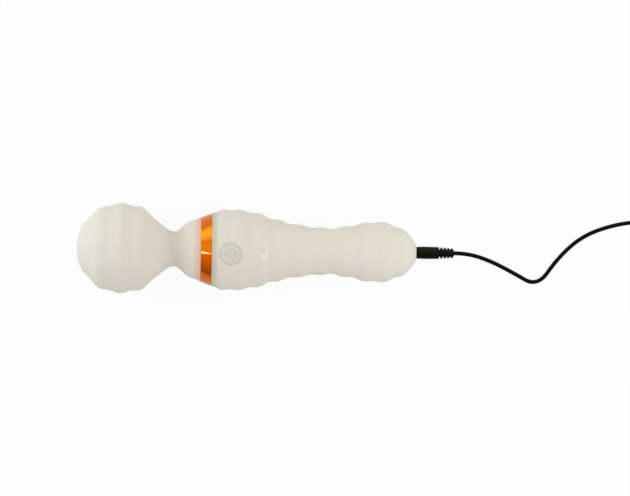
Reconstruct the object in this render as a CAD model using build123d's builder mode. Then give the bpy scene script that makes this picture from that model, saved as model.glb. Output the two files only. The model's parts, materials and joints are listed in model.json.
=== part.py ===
"""Cordless wand massager with a ball head, a flexible neck and a rippled grip.

Sizes are in millimetres. The wand lies on its side on a flat surface at Z = 0: +X runs
from the head to the charging end, +Z is up and the buttons are on top. The origin is the
middle of the wand's footprint. The body is a turned form on one straight axis, which
slopes a little because the head is fatter than the grip. Stations are distances along
that axis from the tip of the head, and heights are measured from it.
"""
from build123d import *
import os
from math import atan2, cos, pi, radians, sin, tan

os.makedirs("parts", exist_ok=True)

# ---------------------------------------------------------------- outer form
wand_length = 209.4        # tip of the head to the flat charging end
head_crest = 27.5          # station of the fattest ridge of the head
head_radius = 27.9
waist = 59.6               # station of the thinnest part of the neck
waist_radius = 10.75
ring_front = 76.9          # station where the metallised ring starts
ring_width = 7.0
ring_rise = 2.45           # ring's rear edge over its front edge
ring_crown = 0.2           # how far the ring bulges between its edges
ring_to_ridge = 2.4        # fattest ridge of the grip over the ring's rear edge
grip_crest = 99.7          # station of that ridge
grip_radius = 24.95
grip_waist_radius = 13.85
grip_waist_to_tail = 31.5  # thinnest part of the grip to the last fat ridge
tail_radius = 18.65
tail_length = 21.1         # that ridge to the charging end
tail_flat_radius = 5.0     # flat that the charging plug stops against

# ---------------------------------------------------------------- silicone and shells
skin = 2.6                 # least thickness of silicone over a shell
head_ridges = 2.2          # how much thicker it is under the head's fattest ridge
skin_fit = 0.1             # gap between silicone and what it covers
shell_wall = 2.0
shell_corner = 4.0         # rounding of the shells' outlines
shell_nose_radius = 9.0    # where the shells start to round off at their ends
head_shell_to_waist = 9.6  # head shell's open end to the waist of the neck
head_boss_radius = 12.6    # its outside there
head_shell_nose = 14.0     # its rounded front
head_shell_flat = 10.5     # its straight outside behind the fattest ridge
collar_share = 0.6         # handle shell's front end, from the waist to the ring
ring_depth = 2.5           # metallised ring's front edge over its seat
collar_step = 2.6          # that seat over the collar in front of it
shell_front_rise = 0.6     # shell nearer to the skin at the ring than elsewhere
shell_crest_run = 11.0     # straight stretch in front of the handle shell's crest
shell_crest_shift = 2.0    # that crest behind the grip's fattest ridge
shell_crest_drop = 0.4     # and the extra silicone over it
shell_waist_shift = 1.0    # handle shell's waist behind the grip's
shell_waist_rise = 0.3     # and how much nearer it is to the skin
shell_tail_drop = 0.65     # extra silicone over the shell at the tail's ridge
tail_cover = 6.4           # silicone behind the handle shell
rib = 2.0                  # thickness of the shells' inner ribs

# ---------------------------------------------------------------- vibration motor
motor_length = 23.0
motor_back_gap = 0.3       # motor to the spring cup behind it
motor_radius = 12.2
motor_fit = 0.05
cradle_wall = 2.8          # rubber sleeve round the motor
cradle_end_gap = 1.5       # bare can at each end of the rubber sleeve
cradle_rib_inset = 1.0     # shell's ribs round the sleeve, from its ends
motor_edge = 1.0           # rounding of the can
motor_cap_length = 2.0
motor_cap_radius = 10.5
brush_slot_length = 5.0
brush_slot_width = 1.6
bushing_radius = 4.0
bushing_length = 2.0
bushing_spigot_radius = 2.5
shaft_radius = 1.0
shaft_reach = 9.4          # shaft in front of the can
running_fit = 0.03         # shaft in its bushing, all round
weight_radius = 9.0
weight_length = 6.4
weight_hub_radius = 3.0
weight_inset = 0.6         # bare shaft in front of the weight

# ---------------------------------------------------------------- flexible neck
spring_radius = 7.2        # outside of the coil spring
spring_wire = 1.5
spring_turns = 9
cup_wall = 1.6
cup_depth = 5.2            # how deep a spring end sits in its cup
cup_floor = 1.0
cup_flange = 1.6           # rim that the shell traps, both thickness and width
loose_fit = 0.1            # pieces that drop into each other
sleeve_bore = 8.2          # free bore of the neck's silicone round the spring
sleeve_mouth_radius = 9.8  # that bore where it meets the shells
sleeve_mouth_depth = 5.0
lead_hole_radius = 3.0
lead_radius = 0.6          # insulated wire
lead_spread = 1.2          # each lead of a pair from the middle
lead_fit = 0.3             # leads in their passage over the cell
cell_lead_spread = 4.0
lead_bend = 1.8
cell_lead_bend = 0.8
jack_lead_bend = 1.4

# ---------------------------------------------------------------- electronics
board_front_margin = 6.8   # board in front of the power switch's middle
board_rear_margin = 4.0    # board behind the mode switch's middle
board_width = 18.0
board_depth = 14.95        # underside of the board below the grip's ridges
board_thickness = 1.6
board_corner = 1.5
post_side = 6.4            # posts that carry the board
post_radius = 2.2
switch_side = 6.0
switch_body = 3.5
switch_corner = 0.6
switch_fit = 0.3           # mode switch in its pocket under the shell
stem_radius = 1.7
stem_stand = 1.5           # stem above the switch body
stem_hidden = 0.7          # stem inside the switch body
led_side = 5.6
led_length = 3.0
led_width = 1.6
led_height = 0.9
led_corner = 0.2
battery_gap = 8.0          # board to cell, and cell to the rear screws
battery_radius = 7.1
battery_fit = 0.1
battery_edge = 0.6
battery_knob_radius = 2.7
battery_knob_length = 1.0
battery_rib_inset = 9.0    # ribs that hold the cell, from its ends
cradle_shell = 1.4         # plastic trough under the cell
trough_gap = 1.2           # free space at each end of the cell
lead_step = 4.5            # usual run of a lead between two bends
lead_clearance = 3.0       # leads under the board
board_edge_gap = 1.5       # leads' bends in front of the board
lead_dip = 0.5             # and where they duck under its rear end
jack_lead_inset = 2.0      # leads from the jack's outside

# ---------------------------------------------------------------- buttons
power_station = 94.8
power_radius = 5.9
power_moat = 1.4           # open groove round the cap
power_rim = 2.1            # width of the raised rim
power_brim_depth = 0.7     # brim of the dished middle below the grip's ridges
power_dish = 0.5           # depth of that dish
power_floor_depth = 4.05   # flat of the shell under the cap, below the grip's ridges
plunger_radius = 3.9
plunger_flange = 1.3       # how far its foot stands out
plunger_foot = 1.0
mode_share = 0.25          # mode button's place, from the grip's crest to its waist
mode_radius = 5.6
mode_top_depth = 2.75      # brim of the thumb dish below the grip's ridges
mode_dish_radius = 26.0    # ball that scoops the thumb dish
mode_dish = 0.6            # depth of that dish
mode_floor_depth = 7.75
mode_stub_radius = 2.6
button_gap = 0.3           # silicone to the mode button, and buttons to the shell
button_travel = 0.6
touch_gap = 0.1            # stem to what presses it

# ---------------------------------------------------------------- fasteners
screw_radius = 1.0
screw_head_radius = 1.9
screw_head = 1.4
screw_fit = 0.05
screw_reach = 7.0          # thread below the split line
screw_spare = 0.2          # hole beyond the screw's tip
screw_seat = 3.0           # underside of the head above the split line
boss_radius = 3.0
head_screw_offset = 2.0    # head's screws behind its fattest ridge
head_screw_side = 18.3
front_screw_offset = 3.4   # handle's front screws behind the ring's front edge
front_screw_side = 11.8
rear_screw_offset = 3.9    # handle's rear screws in front of the tail's ridge
rear_screw_side = 9.6
board_screw_reach = 5.0

# ---------------------------------------------------------------- charging plug and jack
jack_radius = 4.4
jack_length = 15.0         # jack in front of the handle shell's rear end
jack_rib_offset = 2.0
jack_bore_gap = 0.05       # plug's barrel in the jack, all round
jack_bore_spare = 0.5      # bore beyond the barrel's tip
jack_nose_radius = 3.4
jack_recess = 0.6          # jack's nose behind the flat end of the wand
barrel_radius = 1.25       # 2.5 mm coaxial plug
barrel_length = 9.5
barrel_bore = 0.45
barrel_root = 3.0          # barrel moulded into the plug
pin_radius = 0.3
pin_inset = 2.0            # pin's tip inside the wand's end
plug_gap = 0.1             # plug's front to the wand's end
plug_front_radius = 3.65
plug_belly_radius = 3.85
plug_belly = 5.0           # fattest part of the plug behind its front
plug_rear_radius = 3.68
plug_length = 14.1
plug_edge = 0.4
relief_front_radius = 3.55
relief_rear_radius = 2.95
relief_core_radius = 2.4
relief_length = 9.4
relief_tip = 0.9           # cone that closes on the cord
relief_lip = 0.4           # what is left of it round the cord
relief_grooves = 4
relief_pitch = 2.15
groove_width = 0.9

# ---------------------------------------------------------------- cord and USB plug
cord_radius = 1.3
cord_start_run = 8.3       # straight stretch behind the plug
bend_share = 0.45          # of the shorter run beside a corner that its arc takes
coil_x = 276.0             # middle of the wound coil
coil_y = 3.4
coil_across = 3            # turns side by side
coil_layers = 3
coil_mid_radius = 14.0     # middle of the bundle
tie_thick = 0.5
tie_width = 5.0
tie_fit = 0.1
usb_y = -28.6              # middle line of the USB plug
usb_shell_width = 12.0
usb_shell_height = 4.5
usb_shell_length = 12.0
usb_shell_wall = 0.3
usb_shell_root = 4.0       # shell moulded into the grip
usb_latch = 2.0            # square holes in the shell
usb_latch_share = 0.55     # their place along it
usb_grip_width = 15.4
usb_grip_height = 7.8
usb_grip_length = 21.0
usb_grip_corner = 2.6
usb_grip_rounding = 1.5    # of its rear edges
usb_relief_length = 6.0
usb_relief_radius = 2.7
usb_relief_lip = 0.6       # what is left of it round the cord
usb_tongue_height = 1.9
usb_tongue_inset = 0.6     # tongue behind the shell's open end
usb_contact_count = 4
usb_contact_pitch = 2.2
usb_contact_width = 1.1
usb_contact_height = 0.2
usb_contact_inset = 1.0    # strips from the ends of the tongue
usb_start_x = 280.0        # where the cord enters the USB plug's relief

# ---------------------------------------------------------------- frame of the wand
tilt = atan2(head_radius - grip_radius, grip_crest - head_crest)
along = Vector(cos(tilt), 0, -sin(tilt))
upward = Vector(sin(tilt), 0, cos(tilt))
tip_height = head_crest * sin(tilt) + head_radius * cos(tilt)
tip = Vector(-wand_length / 2 * cos(tilt), 0, tip_height)
wand_axis = Axis(tip, along)
side = Plane(origin=tip, x_dir=along, z_dir=(0, -1, 0))


def place(station, aside, height):
    """A point of the wand by its station, side offset and height over the axis."""
    return tip + along * station + Vector(0, aside, 0) + upward * height


def above(station, height, aside=0):
    """Plane that faces up from the wand, with its X along the axis."""
    return Plane(origin=place(station, aside, height), x_dir=along, z_dir=upward)


def across(station):
    """Plane square to the axis, facing the charging end, with its Y up."""
    return Plane(origin=place(station, 0, 0), x_dir=(0, 1, 0), z_dir=along)


def band(start, end, inner, outer, mode=Mode.ADD):
    """Rectangle in a half section, from one station to another and between two radii."""
    with Locations(((start + end) / 2, (inner + outer) / 2)):
        Rectangle(end - start, outer - inner, mode=mode)


def clear_below(length):
    """Removes what lies on the far side of the axis from a section."""
    with Locations((length / 2, -length / 2)):
        Rectangle(length * 2, length, mode=Mode.SUBTRACT)


def full_section(points, corner):
    """Closed face, on both sides of the axis, of an outline with rounded corners."""
    with BuildSketch() as section:
        with BuildLine():
            rounded = FilletPolyline(*points, radius=corner)
            mirror(rounded, about=Plane.XZ)
        make_face()
    return section.sketch


# ---------------------------------------------------------------- stations and heights
ring_rear = ring_front + ring_width
ring_rear_radius = grip_radius - ring_to_ridge
ring_front_radius = ring_rear_radius - ring_rise
ring_seat_radius = ring_front_radius - ring_depth
collar_radius = ring_seat_radius - collar_step
tail_crest = wand_length - tail_length
grip_waist = tail_crest - grip_waist_to_tail
mode_station = grip_crest + mode_share * (grip_waist - grip_crest)
head_shell_end = waist - head_shell_to_waist
collar_start = waist + collar_share * (ring_front - waist)
tail_shell_end = wand_length - tail_cover
motor_rear = head_shell_end - cup_depth - cup_floor - motor_cap_length - motor_back_gap
motor_front = motor_rear - motor_length
board_start = power_station - board_front_margin
board_end = mode_station + board_rear_margin
board_length = board_end - board_start
board_height = grip_radius - board_depth
board_top = board_height + board_thickness
post_station = (power_station + mode_station) / 2
head_screw_station = head_crest + head_screw_offset
front_screw_station = ring_front + front_screw_offset
rear_screw_station = tail_crest - rear_screw_offset
battery_front = board_end + battery_gap
battery_rear = rear_screw_station - battery_gap
battery_length = battery_rear - battery_front
jack_start = tail_shell_end - jack_length
power_floor = grip_radius - power_floor_depth
mode_floor = grip_radius - mode_floor_depth

# ---------------------------------------------------------------- outer forms


def stretch(start, end, *shares):
    """Outline points from one key point up to another, by shares of the way and the rise."""
    return [start] + [(start[0] + way * (end[0] - start[0]), start[1] + rise * (end[1] - start[1]))
                      for way, rise in shares]


head_tip = (0, 0)
head_ridge = (head_crest, head_radius)
neck_waist = (waist, waist_radius)
ring_front_edge = (ring_front, ring_front_radius)
ring_rear_edge = (ring_rear, ring_rear_radius)
grip_ridge = (grip_crest, grip_radius)
grip_middle = (grip_waist, grip_waist_radius)
tail_ridge = (tail_crest, tail_radius)
charging_end = (wand_length, tail_flat_radius)
head_outline = [
    *stretch(head_tip, head_ridge, (0.036, 0.274), (0.080, 0.407), (0.153, 0.527), (0.255, 0.627),
             (0.345, 0.729), (0.436, 0.833), (0.564, 0.903), (0.705, 0.926), (0.836, 0.962)),
    *stretch(head_ridge, neck_waist, (0.115, 0.055), (0.218, 0.105), (0.336, 0.113),
             (0.402, 0.149), (0.520, 0.350), (0.636, 0.557), (0.751, 0.720), (0.866, 0.892)),
    *stretch(neck_waist, ring_front_edge, (0.179, 0.095), (0.393, 0.455), (0.607, 0.701),
             (0.821, 0.840)),
    ring_front_edge,
]
grip_outline = [
    *stretch(ring_rear_edge, grip_ridge, (0.146, 0.354), (0.361, 0.958), (0.684, 0.729)),
    *stretch(grip_ridge, grip_middle, (0.119, 0.171), (0.212, 0.194), (0.259, 0.266),
             (0.333, 0.482), (0.426, 0.523), (0.557, 0.766), (0.662, 0.779), (0.797, 0.950),
             (0.893, 0.905)),
    *stretch(grip_middle, tail_ridge, (0.254, 0.375), (0.435, 0.417), (0.651, 0.906),
             (0.816, 0.865)),
    *stretch(tail_ridge, charging_end, (0.185, 0.059), (0.365, 0.212), (0.555, 0.278),
             (0.782, 0.531)),
    charging_end,
]

with BuildPart() as front_form:
    with BuildSketch(side):
        with BuildLine():
            Spline(*head_outline)
            Polyline(ring_front_edge, (ring_front, 0), head_tip)
        make_face()
    revolve(axis=wand_axis)

with BuildPart() as grip_form:
    with BuildSketch(side):
        with BuildLine():
            Spline(*grip_outline)
            Polyline(charging_end, (wand_length, 0), (ring_rear, 0), ring_rear_edge)
        make_face()
    revolve(axis=wand_axis)

# ---------------------------------------------------------------- hard shell outlines
head_shell_radius = head_radius - head_ridges - skin
head_shell_points = [
    (skin, 0), (skin, shell_nose_radius), (skin + head_shell_nose, head_shell_radius),
    (head_crest + head_shell_flat, head_shell_radius), (head_shell_end, head_boss_radius),
    (head_shell_end, 0),
]
grip_shell_ridge = (grip_crest + shell_crest_shift, grip_radius - shell_crest_drop - skin)
grip_shell_middle = (grip_waist + shell_waist_shift, grip_waist_radius + shell_waist_rise - skin)
tail_shell_ridge = (tail_crest, tail_radius - shell_tail_drop - skin)
tail_shell_edge = (tail_shell_end, shell_nose_radius)
grip_shell_points = [
    (ring_rear, 0), (ring_rear, ring_rear_radius + shell_front_rise - skin),
    *stretch((grip_crest - shell_crest_run, grip_shell_ridge[1]), grip_shell_ridge),
    *stretch(grip_shell_ridge, grip_shell_middle, (0.098, 0.163), (0.312, 0.498), (0.537, 0.770),
             (0.786, 0.962)),
    *stretch(grip_shell_middle, tail_shell_ridge, (0.279, 0.282), (0.770, 0.949)),
    *stretch(tail_shell_ridge, tail_shell_edge, (0.578, 0.406)),
    tail_shell_edge, (tail_shell_end, 0),
]
seat_bands = [
    (collar_start, ring_front, collar_radius),
    (ring_front, ring_rear + shell_wall, ring_seat_radius),
]


def shell_solid(points, grow, bands=()):
    """Turned solid of a shell's outline, grown or shrunk all over by one amount."""
    with BuildPart() as solid:
        with BuildSketch(side):
            add(full_section(points, shell_corner))
            if grow:
                offset(amount=grow)
            for start, end, radius in bands:
                band(start, end, 0, radius)
            clear_below(wand_length)
        revolve(axis=wand_axis)
    return solid.part


head_solid = shell_solid(head_shell_points, 0)
head_cavity = shell_solid(head_shell_points, -shell_wall)
head_clearance = shell_solid(head_shell_points, skin_fit)
grip_solid = shell_solid(grip_shell_points, 0, seat_bands)
cavity_bands = [(start + shell_wall, end + shell_wall, radius - shell_wall)
                for start, end, radius in seat_bands]
grip_cavity = shell_solid(grip_shell_points, -shell_wall, cavity_bands)
grip_clearance = shell_solid(grip_shell_points, skin_fit)


def keep_between(start, end):
    """Cuts the part being built down to the stretch between two stations."""
    split(bisect_by=across(start), keep=Keep.TOP)
    split(bisect_by=across(end), keep=Keep.BOTTOM)


def screw_bosses(spots, height):
    """Round posts for screws that clamp the two halves of a shell."""
    with Locations(*(above(station, 0, aside) for station, aside in spots)):
        Cylinder(boss_radius, 2 * height)


def screw_holes(spots):
    """Clearance for each screw's shank, and a counterbore from the top for its head."""
    with Locations(*(above(station, screw_seat, aside) for station, aside in spots)):
        Cylinder(screw_radius + screw_fit, screw_seat + screw_reach + screw_spare,
                 mode=Mode.SUBTRACT,
                 align=(Align.CENTER, Align.CENTER, Align.MAX))
        Cylinder(screw_head_radius + screw_fit, head_radius, mode=Mode.SUBTRACT,
                 align=(Align.CENTER, Align.CENTER, Align.MIN))


def screws(planes, shank):
    """Pan screws on planes that face their heads."""
    with Locations(*planes):
        Cylinder(screw_radius, shank, align=(Align.CENTER, Align.CENTER, Align.MAX))
        Cylinder(screw_head_radius, screw_head,
                 align=(Align.CENTER, Align.CENTER, Align.MIN))


head_screw_spots = [(head_screw_station, end * head_screw_side) for end in (-1, 1)]
grip_screw_spots = [(station, end * aside) for end in (-1, 1)
                    for station, aside in ((front_screw_station, front_screw_side),
                                           (rear_screw_station, rear_screw_side))]

# ---------------------------------------------------------------- silicone skin
with BuildPart() as head_sleeve:
    add(front_form.part)
    split(bisect_by=across(head_shell_end), keep=Keep.BOTTOM)
    add(head_clearance, mode=Mode.SUBTRACT)

with BuildPart() as neck_sleeve:
    add(front_form.part)
    keep_between(head_shell_end, collar_start)
    with BuildSketch(side):
        with BuildLine():
            Polyline((head_shell_end, 0), (head_shell_end, sleeve_mouth_radius),
                     (head_shell_end + sleeve_mouth_depth, sleeve_bore),
                     (collar_start - sleeve_mouth_depth, sleeve_bore),
                     (collar_start, sleeve_mouth_radius), (collar_start, 0), (head_shell_end, 0))
        make_face()
    revolve(axis=wand_axis, mode=Mode.SUBTRACT)

with BuildPart() as shoulder_sleeve:
    add(front_form.part)
    split(bisect_by=across(collar_start), keep=Keep.TOP)
    with BuildSketch(side):
        band(collar_start, ring_front, 0, collar_radius + skin_fit)
    revolve(axis=wand_axis, mode=Mode.SUBTRACT)

with BuildPart() as trim_ring:
    front_edge = ring_front + skin_fit / 2
    rear_edge = ring_rear - skin_fit / 2
    middle = ((front_edge + rear_edge) / 2, (ring_front_radius + ring_rear_radius) / 2 + ring_crown)
    with BuildSketch(side):
        with BuildLine():
            ThreePointArc((front_edge, ring_front_radius), middle, (rear_edge, ring_rear_radius))
            Polyline((rear_edge, ring_rear_radius), (rear_edge, ring_seat_radius + loose_fit),
                     (front_edge, ring_seat_radius + loose_fit), (front_edge, ring_front_radius))
        make_face()
    revolve(axis=wand_axis)

with BuildPart() as handle_sleeve:
    add(grip_form.part)
    add(grip_clearance, mode=Mode.SUBTRACT)
    with Locations(above(power_station, board_height)):
        Cylinder(power_radius + power_moat, grip_radius, mode=Mode.SUBTRACT,
                 align=(Align.CENTER, Align.CENTER, Align.MIN))
    with Locations(above(mode_station, board_height)):
        Cylinder(mode_radius + button_gap, grip_radius, mode=Mode.SUBTRACT,
                 align=(Align.CENTER, Align.CENTER, Align.MIN))
    with BuildSketch(across(tail_shell_end - shell_wall)):
        Circle(jack_nose_radius + loose_fit)
    extrude(amount=wand_length, mode=Mode.SUBTRACT)

# ---------------------------------------------------------------- head shell halves
cradle_radius = motor_radius + cradle_wall
cradle_start = motor_front + cradle_end_gap
cradle_end = motor_front + motor_length - cradle_end_gap
cup_radius = spring_radius + loose_fit + cup_wall

with BuildPart() as head_inside:
    with BuildSketch(side):
        for start in (cradle_start + cradle_rib_inset, cradle_end - cradle_rib_inset - rib):
            band(start, start + rib, cradle_radius + loose_fit, head_shell_radius)
    revolve(axis=wand_axis)
    screw_bosses(head_screw_spots, head_shell_radius)
    add(head_solid, mode=Mode.INTERSECT)

with BuildPart() as head_shell:
    add(head_solid)
    add(head_cavity, mode=Mode.SUBTRACT)
    add(head_inside.part)
    with BuildSketch(side):
        band(cradle_start, cradle_end, 0, cradle_radius + loose_fit)
        band(head_shell_end - shell_wall, head_shell_end, 0, cup_radius + loose_fit)
    revolve(axis=wand_axis, mode=Mode.SUBTRACT)
    screw_holes(head_screw_spots)

with BuildPart() as head_shell_upper:
    add(head_shell.part)
    split(bisect_by=above(0, 0), keep=Keep.TOP)

with BuildPart() as head_shell_lower:
    add(head_shell.part)
    split(bisect_by=above(0, 0), keep=Keep.BOTTOM)

with BuildPart() as head_screws:
    screws([above(station, screw_seat, aside) for station, aside in head_screw_spots],
           screw_seat + screw_reach)

# ---------------------------------------------------------------- vibration motor
with BuildPart() as motor_can:
    with BuildSketch(side):
        with BuildLine():
            FilletPolyline((motor_front, 0), (motor_front, motor_radius),
                           (motor_rear, motor_radius), (motor_rear, 0), radius=motor_edge)
            Line((motor_rear, 0), (motor_front, 0))
        make_face()
        band(motor_front, motor_front + bushing_length, 0, bushing_spigot_radius + motor_fit,
             mode=Mode.SUBTRACT)
        band(motor_front, motor_rear - rib, 0, shaft_radius + loose_fit * 2,
             mode=Mode.SUBTRACT)
    revolve(axis=wand_axis)

with BuildPart() as motor_end_cap:
    with BuildSketch(across(motor_rear)):
        Circle(motor_cap_radius)
        with PolarLocations(motor_cap_radius, 2):
            SlotOverall(brush_slot_length, brush_slot_width, mode=Mode.SUBTRACT)
    extrude(amount=motor_cap_length)

with BuildPart() as motor_bushing:
    with BuildSketch(side):
        bore = shaft_radius + running_fit
        band(motor_front - bushing_length, motor_front, bore, bushing_radius)
        band(motor_front, motor_front + bushing_length, bore, bushing_spigot_radius)
    revolve(axis=wand_axis)

with BuildPart() as motor_cradle:
    with BuildSketch(side):
        band(cradle_start, cradle_end, motor_radius + motor_fit, cradle_radius)
    revolve(axis=wand_axis)

with BuildPart() as motor_shaft:
    with BuildSketch(across(motor_front - shaft_reach)):
        Circle(shaft_radius)
    extrude(amount=shaft_reach + motor_length - rib - loose_fit * 2)

with BuildPart() as eccentric_weight:
    with BuildSketch(across(motor_front - shaft_reach + weight_inset)):
        Circle(weight_radius)
        with Locations((0, weight_radius / 2)):
            Rectangle(2 * weight_radius, weight_radius, mode=Mode.SUBTRACT)
        Circle(weight_hub_radius)
        Circle(shaft_radius, mode=Mode.SUBTRACT)
    extrude(amount=weight_length)

# ---------------------------------------------------------------- flexible neck


def spring_cup(mouth, inward):
    """Flanged cup that the spring's end sits in; inward is +1 towards the charging end."""
    floor = mouth + inward * cup_depth
    flange = mouth + inward * (shell_wall + loose_fit)
    band(*sorted((mouth, floor + inward * cup_floor)), spring_radius + loose_fit, cup_radius)
    band(*sorted((floor, floor + inward * cup_floor)), lead_hole_radius, cup_radius)
    band(*sorted((flange, flange + inward * cup_flange)),
         spring_radius + loose_fit, cup_radius + cup_flange)


with BuildPart() as front_spring_cup:
    with BuildSketch(side):
        spring_cup(head_shell_end, -1)
    revolve(axis=wand_axis)

with BuildPart() as rear_spring_cup:
    with BuildSketch(side):
        spring_cup(collar_start, 1)
    revolve(axis=wand_axis)

spring_start = head_shell_end - cup_depth + loose_fit + spring_wire / 2
spring_length = collar_start + cup_depth - loose_fit - spring_wire / 2 - spring_start
with BuildPart() as neck_spring:
    with BuildLine():
        winding = Helix(pitch=spring_length / spring_turns, height=spring_length,
                        radius=spring_radius - spring_wire / 2,
                        center=place(spring_start, 0, 0), direction=along)
    with BuildSketch(Plane(origin=winding @ 0, z_dir=winding % 0)):
        Circle(spring_wire / 2)
    sweep(path=winding, is_frenet=True)

# ---------------------------------------------------------------- handle shell halves
cell_ribs = (battery_front + battery_rib_inset, battery_rear - battery_rib_inset - rib)
trough_radius = battery_radius + battery_fit + cradle_shell
lead_over_cell = battery_radius + 2 * lead_radius + battery_fit
jack_rib = jack_start + jack_rib_offset

with BuildPart() as grip_inside:
    with BuildSketch(side):
        for start in cell_ribs:
            band(start, start + rib, trough_radius + loose_fit, grip_radius)
        band(jack_rib, jack_rib + rib, jack_radius + loose_fit, grip_radius)
    revolve(axis=wand_axis)
    screw_bosses(grip_screw_spots, grip_radius)
    add(grip_solid, mode=Mode.INTERSECT)

with BuildPart() as cell_stops:
    with BuildSketch(side):
        for start in cell_ribs:
            band(start, start + rib, battery_radius + battery_fit, trough_radius + loose_fit)
    revolve(axis=wand_axis)
    split(bisect_by=above(0, loose_fit), keep=Keep.TOP)

with BuildPart() as board_posts:
    with Locations(*(above(post_station, board_top, end * post_side) for end in (-1, 1))):
        Cylinder(post_radius, grip_radius, align=(Align.CENTER, Align.CENTER, Align.MIN))
    with Locations(above(power_station, power_floor)):
        Cylinder(power_radius + power_moat + shell_wall / 2, shell_wall,
                 align=(Align.CENTER, Align.CENTER, Align.MAX))
    add(grip_solid, mode=Mode.INTERSECT)

with BuildPart() as grip_shell:
    add(grip_solid)
    add(grip_cavity, mode=Mode.SUBTRACT)
    add(grip_inside.part)
    with BuildSketch(side):
        band(collar_start, collar_start + shell_wall, 0, cup_radius + loose_fit)
        band(tail_shell_end - shell_wall, tail_shell_end, 0, jack_nose_radius + loose_fit)
    revolve(axis=wand_axis, mode=Mode.SUBTRACT)
    screw_holes(grip_screw_spots)

with BuildPart() as handle_shell_upper:
    add(grip_shell.part)
    split(bisect_by=above(0, 0), keep=Keep.TOP)
    add(cell_stops.part)
    add(board_posts.part)
    with Locations(above(power_station, power_floor)):
        Cylinder(power_radius + power_moat, grip_radius, mode=Mode.SUBTRACT,
                 align=(Align.CENTER, Align.CENTER, Align.MIN))
    with Locations(above(power_station, board_top)):
        Cylinder(plunger_radius + button_gap, grip_radius, mode=Mode.SUBTRACT,
                 align=(Align.CENTER, Align.CENTER, Align.MIN))
    with Locations(above(mode_station, mode_floor)):
        Cylinder(mode_radius + button_gap, grip_radius, mode=Mode.SUBTRACT,
                 align=(Align.CENTER, Align.CENTER, Align.MIN))
    with Locations(above(mode_station, board_top)):
        Cylinder(mode_stub_radius + button_gap, grip_radius, mode=Mode.SUBTRACT,
                 align=(Align.CENTER, Align.CENTER, Align.MIN))
        Box(switch_side + 2 * switch_fit, switch_side + 2 * switch_fit, switch_body + switch_fit,
            mode=Mode.SUBTRACT, align=(Align.CENTER, Align.CENTER, Align.MIN))
    with Locations(*(above(post_station, board_top, end * post_side) for end in (-1, 1))):
        Cylinder(screw_radius + screw_fit, board_screw_reach, mode=Mode.SUBTRACT,
                 align=(Align.CENTER, Align.CENTER, Align.MIN))
    with BuildSketch(across(battery_front)):
        with Locations((0, battery_radius)):
            Rectangle(2 * (lead_spread + lead_radius + lead_fit), 3 * lead_radius + lead_fit,
                      align=(Align.CENTER, Align.MIN))
    extrude(amount=battery_length, mode=Mode.SUBTRACT)

with BuildPart() as handle_shell_lower:
    add(grip_shell.part)
    split(bisect_by=above(0, 0), keep=Keep.BOTTOM)

with BuildPart() as shell_screws:
    screws([above(station, screw_seat, aside) for station, aside in grip_screw_spots],
           screw_seat + screw_reach)

# ---------------------------------------------------------------- electronics
with BuildPart() as circuit_board:
    with BuildSketch(above(board_start, board_height)):
        with Locations((board_length / 2, 0)):
            RectangleRounded(board_length, board_width, board_corner)
        with Locations((post_station - board_start, post_side),
                       (post_station - board_start, -post_side)):
            Circle(screw_radius + screw_fit, mode=Mode.SUBTRACT)
    extrude(amount=board_thickness)

with BuildPart() as board_screws:
    screws([-above(post_station, board_height, end * post_side) for end in (-1, 1)],
           board_thickness + board_screw_reach - loose_fit)


def switch_body_at(station):
    """Square tactile switch with a round well for its stem."""
    with BuildPart() as body:
        with BuildSketch(above(station, board_top)):
            RectangleRounded(switch_side, switch_side, switch_corner)
        extrude(amount=switch_body)
        with Locations(above(station, board_top + switch_body)):
            Cylinder(stem_radius + loose_fit, stem_hidden + button_travel + touch_gap,
                     align=(Align.CENTER, Align.CENTER, Align.MAX), mode=Mode.SUBTRACT)
    return body


def switch_stem_at(station):
    """Stem that slides in that well."""
    with BuildPart() as stem:
        with Locations(above(station, board_top + switch_body - stem_hidden)):
            Cylinder(stem_radius, stem_hidden + stem_stand,
                     align=(Align.CENTER, Align.CENTER, Align.MIN))
    return stem


power_switch = switch_body_at(power_station)
mode_switch = switch_body_at(mode_station)
power_switch_stem = switch_stem_at(power_station)
mode_switch_stem = switch_stem_at(mode_station)

with BuildPart() as status_led:
    with BuildSketch(above(power_station, board_top, led_side)):
        RectangleRounded(led_length, led_width, led_corner)
    extrude(amount=led_height)

with BuildPart() as battery_cell:
    with BuildSketch(across(battery_front)):
        Circle(battery_radius)
    extrude(amount=battery_length)
    fillet(edges().filter_by(GeomType.CIRCLE), radius=battery_edge)
    with BuildSketch(across(battery_front - battery_knob_length)):
        Circle(battery_knob_radius)
    extrude(amount=battery_knob_length)

with BuildPart() as battery_cradle:
    with BuildSketch(side):
        start = battery_front - trough_gap
        end = battery_rear + trough_gap
        band(start, end, battery_radius + battery_fit, trough_radius)
        band(start - cradle_shell, start, 0, trough_radius)
        band(end, end + cradle_shell, 0, trough_radius)
    revolve(axis=wand_axis)
    split(bisect_by=above(0, 0), keep=Keep.BOTTOM)


def lead_pair(points, spread, bend):
    """Two insulated wires side by side along one outline in the middle plane."""
    with BuildPart() as pair:
        for aside in (-spread, spread):
            wire_plane = Plane(origin=place(0, aside, 0), x_dir=along, z_dir=(0, -1, 0))
            with BuildLine(wire_plane):
                wire = FilletPolyline(*points, radius=bend)
            with BuildSketch(Plane(origin=wire @ 0, z_dir=wire % 0)):
                Circle(lead_radius)
            sweep(path=wire)
    return pair


solder = board_height - loose_fit / 2
lead_height = board_height - lead_clearance
motor_leads = lead_pair(
    [(motor_rear + motor_cap_length, 0), (board_start - board_edge_gap - lead_step, 0),
     (board_start - board_edge_gap, lead_height), (board_start + lead_clearance, lead_height),
     (board_start + lead_clearance, solder)], lead_spread, lead_bend)

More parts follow.
